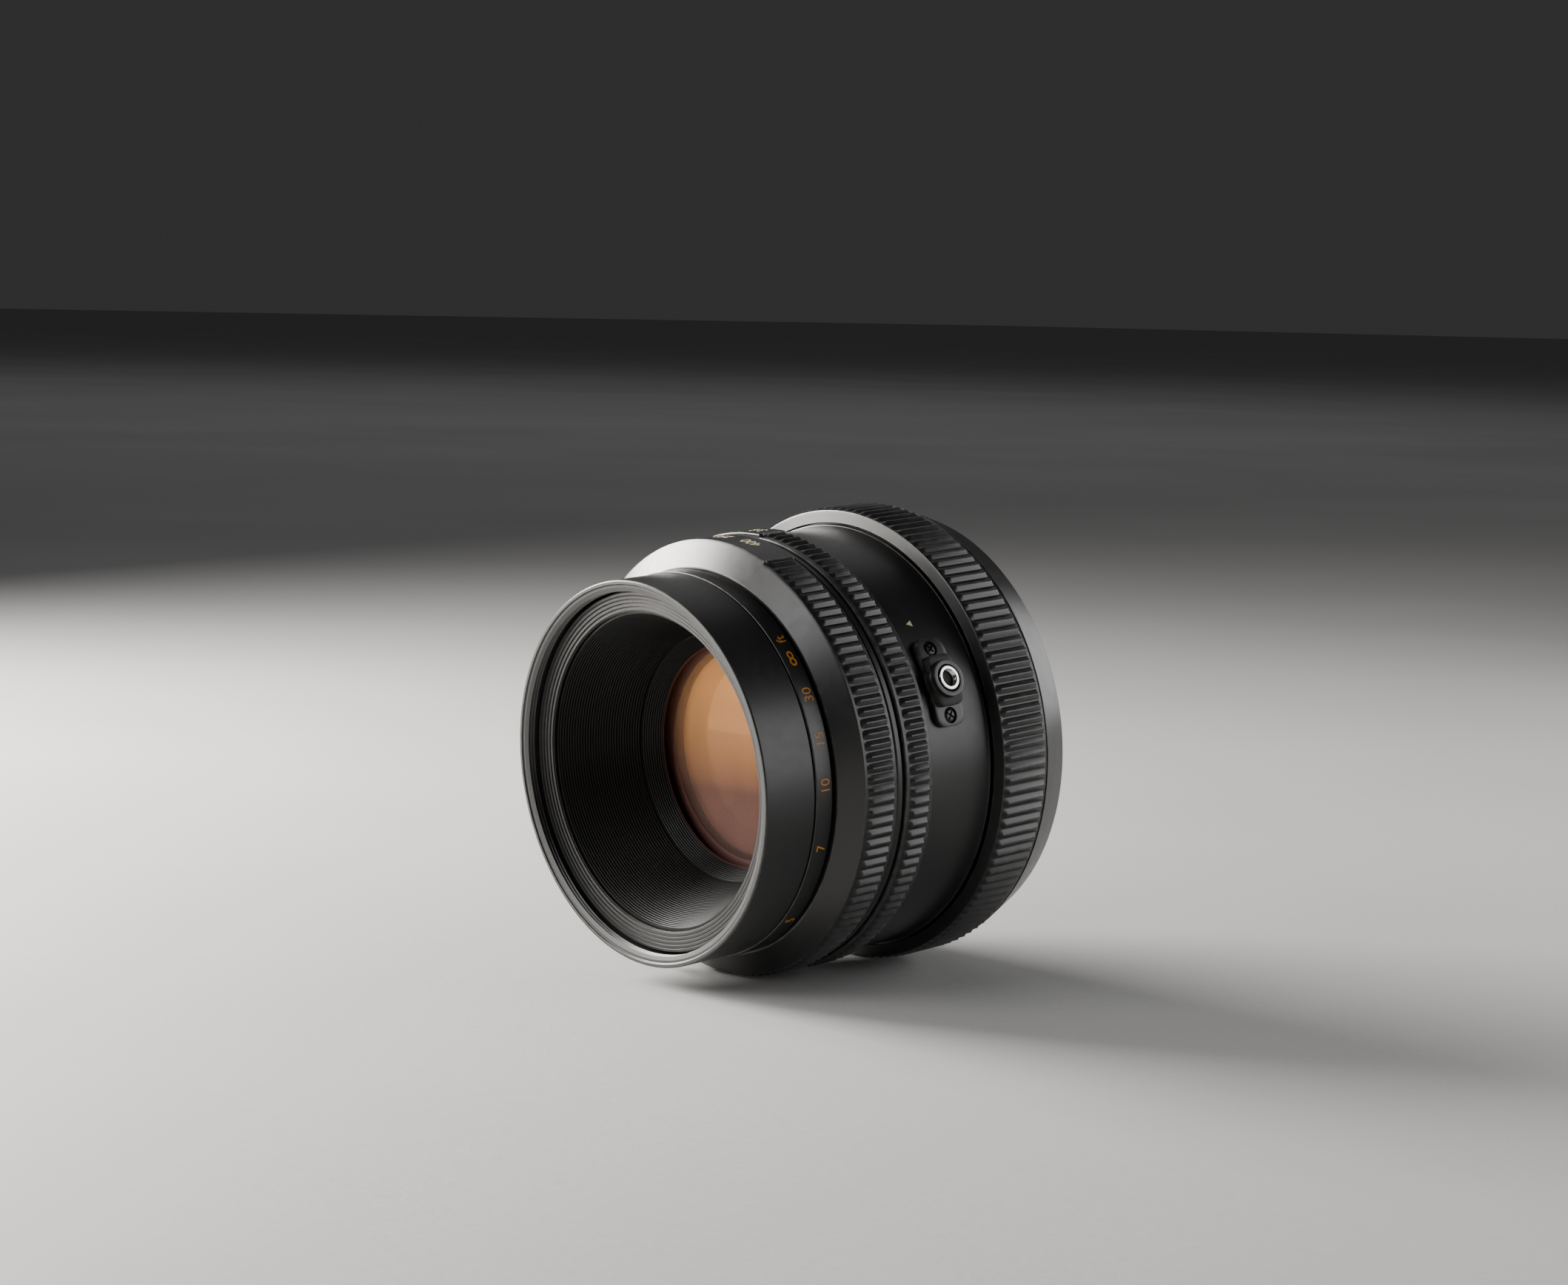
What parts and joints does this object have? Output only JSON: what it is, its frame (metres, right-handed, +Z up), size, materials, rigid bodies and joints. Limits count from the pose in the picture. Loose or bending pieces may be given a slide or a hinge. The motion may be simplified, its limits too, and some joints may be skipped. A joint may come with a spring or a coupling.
{
  "type": "prime camera lens",
  "caption": "Short telephoto prime lens for a medium-format camera, with a leaf shutter, ridged setting rings, a release socket and a breech-lock mounting ring at the rear.",
  "frame": {"origin": "under the middle of the lens, on the level of the bayonet ring's lowest ridge", "axes": "+Y along the optical axis from the front rim to the camera mount, +Z up, +X towards the side with the release socket"},
  "size_m": [0.1002, 0.079, 0.1002],
  "materials": {
    "black_metal": "satin black anodised, bright worn rim",
    "ring_metal": "semi-gloss black, ridged",
    "black_paint": "satin black enamel",
    "flat_black": "matt anti-reflection black",
    "coated_glass": "polished, amber coated",
    "clear_glass": "polished",
    "dark_steel": "blackened",
    "steel": "fine turned",
    "brass": "turned",
    "chrome": "bright"
  },
  "bodies": {
    "barrel": {"front_barrel": "black_metal", "stepped_ring": "flat_black", "conical_baffle": "flat_black", "index_ring": "black_paint", "shutter_housing": "flat_black", "front_cell": "flat_black", "front_retaining_ring": "flat_black", "front_glass": "coated_glass", "second_glass": "clear_glass", "rear_cell": "flat_black", "rear_inner_ring": "flat_black", "rear_glass_inner": "clear_glass", "rear_glass_outer": "coated_glass", "rear_retaining_ring": "flat_black", "shutter_plate": "dark_steel", "iris_plate": "dark_steel", "rear_barrel": "black_paint", "bayonet_retainer": "steel", "rear_flange": "steel", "flange_screw_1": "steel", "flange_screw_2": "steel", "flange_screw_3": "steel", "flange_screw_4": "steel", "release_housing": "black_paint", "release_socket": "chrome", "release_screw_1": "dark_steel", "release_screw_2": "dark_steel", "sync_socket": "chrome", "sync_pin": "brass"},
    "distance_ring": {"distance_ring": "ring_metal"},
    "preview_lever": {"preview_lever": "ring_metal"},
    "speed_ring": {"speed_ring": "ring_metal"},
    "aperture_ring": {"aperture_ring": "ring_metal"},
    "iris_drive": {"iris_drive_ring": "brass"},
    "bayonet_ring": {"bayonet_ring": "ring_metal"},
    "cocking_ring": {"cocking_ring": "brass", "cocking_pin_1": "steel", "cocking_pin_2": "steel"},
    "shutter_drive": {"shutter_drive_ring": "brass"},
    "release_plunger": {"release_plunger": "steel"},
    "shutter_blade_1": {"shutter_blade_1": "dark_steel"},
    "shutter_blade_2": {"shutter_blade_2": "dark_steel"},
    "shutter_blade_3": {"shutter_blade_3": "dark_steel"},
    "shutter_blade_4": {"shutter_blade_4": "dark_steel"},
    "shutter_blade_5": {"shutter_blade_5": "dark_steel"},
    "iris_blade_1": {"iris_blade_1": "dark_steel"},
    "iris_blade_2": {"iris_blade_2": "dark_steel"},
    "iris_blade_3": {"iris_blade_3": "dark_steel"},
    "iris_blade_4": {"iris_blade_4": "dark_steel"},
    "iris_blade_5": {"iris_blade_5": "dark_steel"}
  },
  "joints": [
    {"name": "distance_ring_turn", "type": "hinge", "parent": "barrel", "child": "distance_ring", "pos_m": [0, -0.02425, 0.0501], "axis": [0, 1, 0], "range_deg": [-45, 45]},
    {"name": "preview_lever_swing", "type": "hinge", "parent": "barrel", "child": "preview_lever", "pos_m": [0, -0.02155, 0.0501], "axis": [0, 1, 0], "range_deg": [0, 18]},
    {"name": "speed_ring_turn", "type": "hinge", "parent": "barrel", "child": "speed_ring", "pos_m": [0, -0.01505, 0.0501], "axis": [0, 1, 0], "range_deg": [-11, 88]},
    {"name": "aperture_ring_turn", "type": "hinge", "parent": "barrel", "child": "aperture_ring", "pos_m": [0, -0.00285, 0.0501], "axis": [0, 1, 0], "range_deg": [0, 66]},
    {"name": "bayonet_ring_turn", "type": "hinge", "parent": "barrel", "child": "bayonet_ring", "pos_m": [0, 0.02845, 0.0501], "axis": [0, 1, 0], "range_deg": [0, 55]},
    {"name": "cocking_ring_turn", "type": "hinge", "parent": "barrel", "child": "cocking_ring", "pos_m": [0, 0.02845, 0.0501], "axis": [0, 1, 0], "range_deg": [-56, 0]},
    {"name": "shutter_drive_turn", "type": "hinge", "parent": "barrel", "child": "shutter_drive", "pos_m": [0, 0.00365, 0.0501], "axis": [0, 1, 0], "range_deg": [-30, 0]},
    {"name": "iris_drive_turn", "type": "hinge", "parent": "barrel", "child": "iris_drive", "pos_m": [0, 0.00905, 0.0501], "axis": [0, 1, 0], "range_deg": [0, 28]},
    {"name": "shutter_blade_1_swing", "type": "hinge", "parent": "barrel", "child": "shutter_blade_1", "pos_m": [0, 0.00285, 0.0794], "axis": [0, 1, 0], "range_deg": [0, 56.5]},
    {"name": "iris_blade_1_swing", "type": "hinge", "parent": "barrel", "child": "iris_blade_1", "pos_m": [0, 0.00685, 0.0794], "axis": [0, 1, 0], "range_deg": [0, 26.5]},
    {"name": "shutter_blade_2_swing", "type": "hinge", "parent": "barrel", "child": "shutter_blade_2", "pos_m": [0.02787, 0.00345, 0.05915], "axis": [0, 1, 0], "range_deg": [0, 56.5]},
    {"name": "iris_blade_2_swing", "type": "hinge", "parent": "barrel", "child": "iris_blade_2", "pos_m": [0.02787, 0.00745, 0.05915], "axis": [0, 1, 0], "range_deg": [0, 26.5]},
    {"name": "shutter_blade_3_swing", "type": "hinge", "parent": "barrel", "child": "shutter_blade_3", "pos_m": [0.01722, 0.00405, 0.0264], "axis": [0, 1, 0], "range_deg": [0, 56.5]},
    {"name": "iris_blade_3_swing", "type": "hinge", "parent": "barrel", "child": "iris_blade_3", "pos_m": [0.01722, 0.00805, 0.0264], "axis": [0, 1, 0], "range_deg": [0, 26.5]},
    {"name": "shutter_blade_4_swing", "type": "hinge", "parent": "barrel", "child": "shutter_blade_4", "pos_m": [-0.01722, 0.00465, 0.0264], "axis": [0, 1, 0], "range_deg": [0, 56.5]},
    {"name": "iris_blade_4_swing", "type": "hinge", "parent": "barrel", "child": "iris_blade_4", "pos_m": [-0.01722, 0.00865, 0.0264], "axis": [0, 1, 0], "range_deg": [0, 26.5]},
    {"name": "shutter_blade_5_swing", "type": "hinge", "parent": "barrel", "child": "shutter_blade_5", "pos_m": [-0.02787, 0.00525, 0.05915], "axis": [0, 1, 0], "range_deg": [0, 56.5]},
    {"name": "iris_blade_5_swing", "type": "hinge", "parent": "barrel", "child": "iris_blade_5", "pos_m": [-0.02787, 0.00925, 0.05915], "axis": [0, 1, 0], "range_deg": [0, 26.5]},
    {"name": "release_press", "type": "slide", "parent": "barrel", "child": "release_plunger", "axis": [-0.9265, 0, -0.3762], "range_m": [0, 0.003], "stiffness_N_per_m": 250, "springref_m": -0.001}
  ],
  "couplings": [
    {"joint": "shutter_drive_turn", "follows": "cocking_ring_turn", "ratio": 0.5},
    {"joint": "iris_drive_turn", "follows": "aperture_ring_turn", "ratio": 0.4},
    {"joint": "shutter_blade_1_swing", "follows": "cocking_ring_turn", "ratio": -1},
    {"joint": "iris_blade_1_swing", "follows": "aperture_ring_turn", "ratio": 0.4},
    {"joint": "shutter_blade_2_swing", "follows": "cocking_ring_turn", "ratio": -1},
    {"joint": "iris_blade_2_swing", "follows": "aperture_ring_turn", "ratio": 0.4},
    {"joint": "shutter_blade_3_swing", "follows": "cocking_ring_turn", "ratio": -1},
    {"joint": "iris_blade_3_swing", "follows": "aperture_ring_turn", "ratio": 0.4},
    {"joint": "shutter_blade_4_swing", "follows": "cocking_ring_turn", "ratio": -1},
    {"joint": "iris_blade_4_swing", "follows": "aperture_ring_turn", "ratio": 0.4},
    {"joint": "shutter_blade_5_swing", "follows": "cocking_ring_turn", "ratio": -1},
    {"joint": "iris_blade_5_swing", "follows": "aperture_ring_turn", "ratio": 0.4}
  ]
}
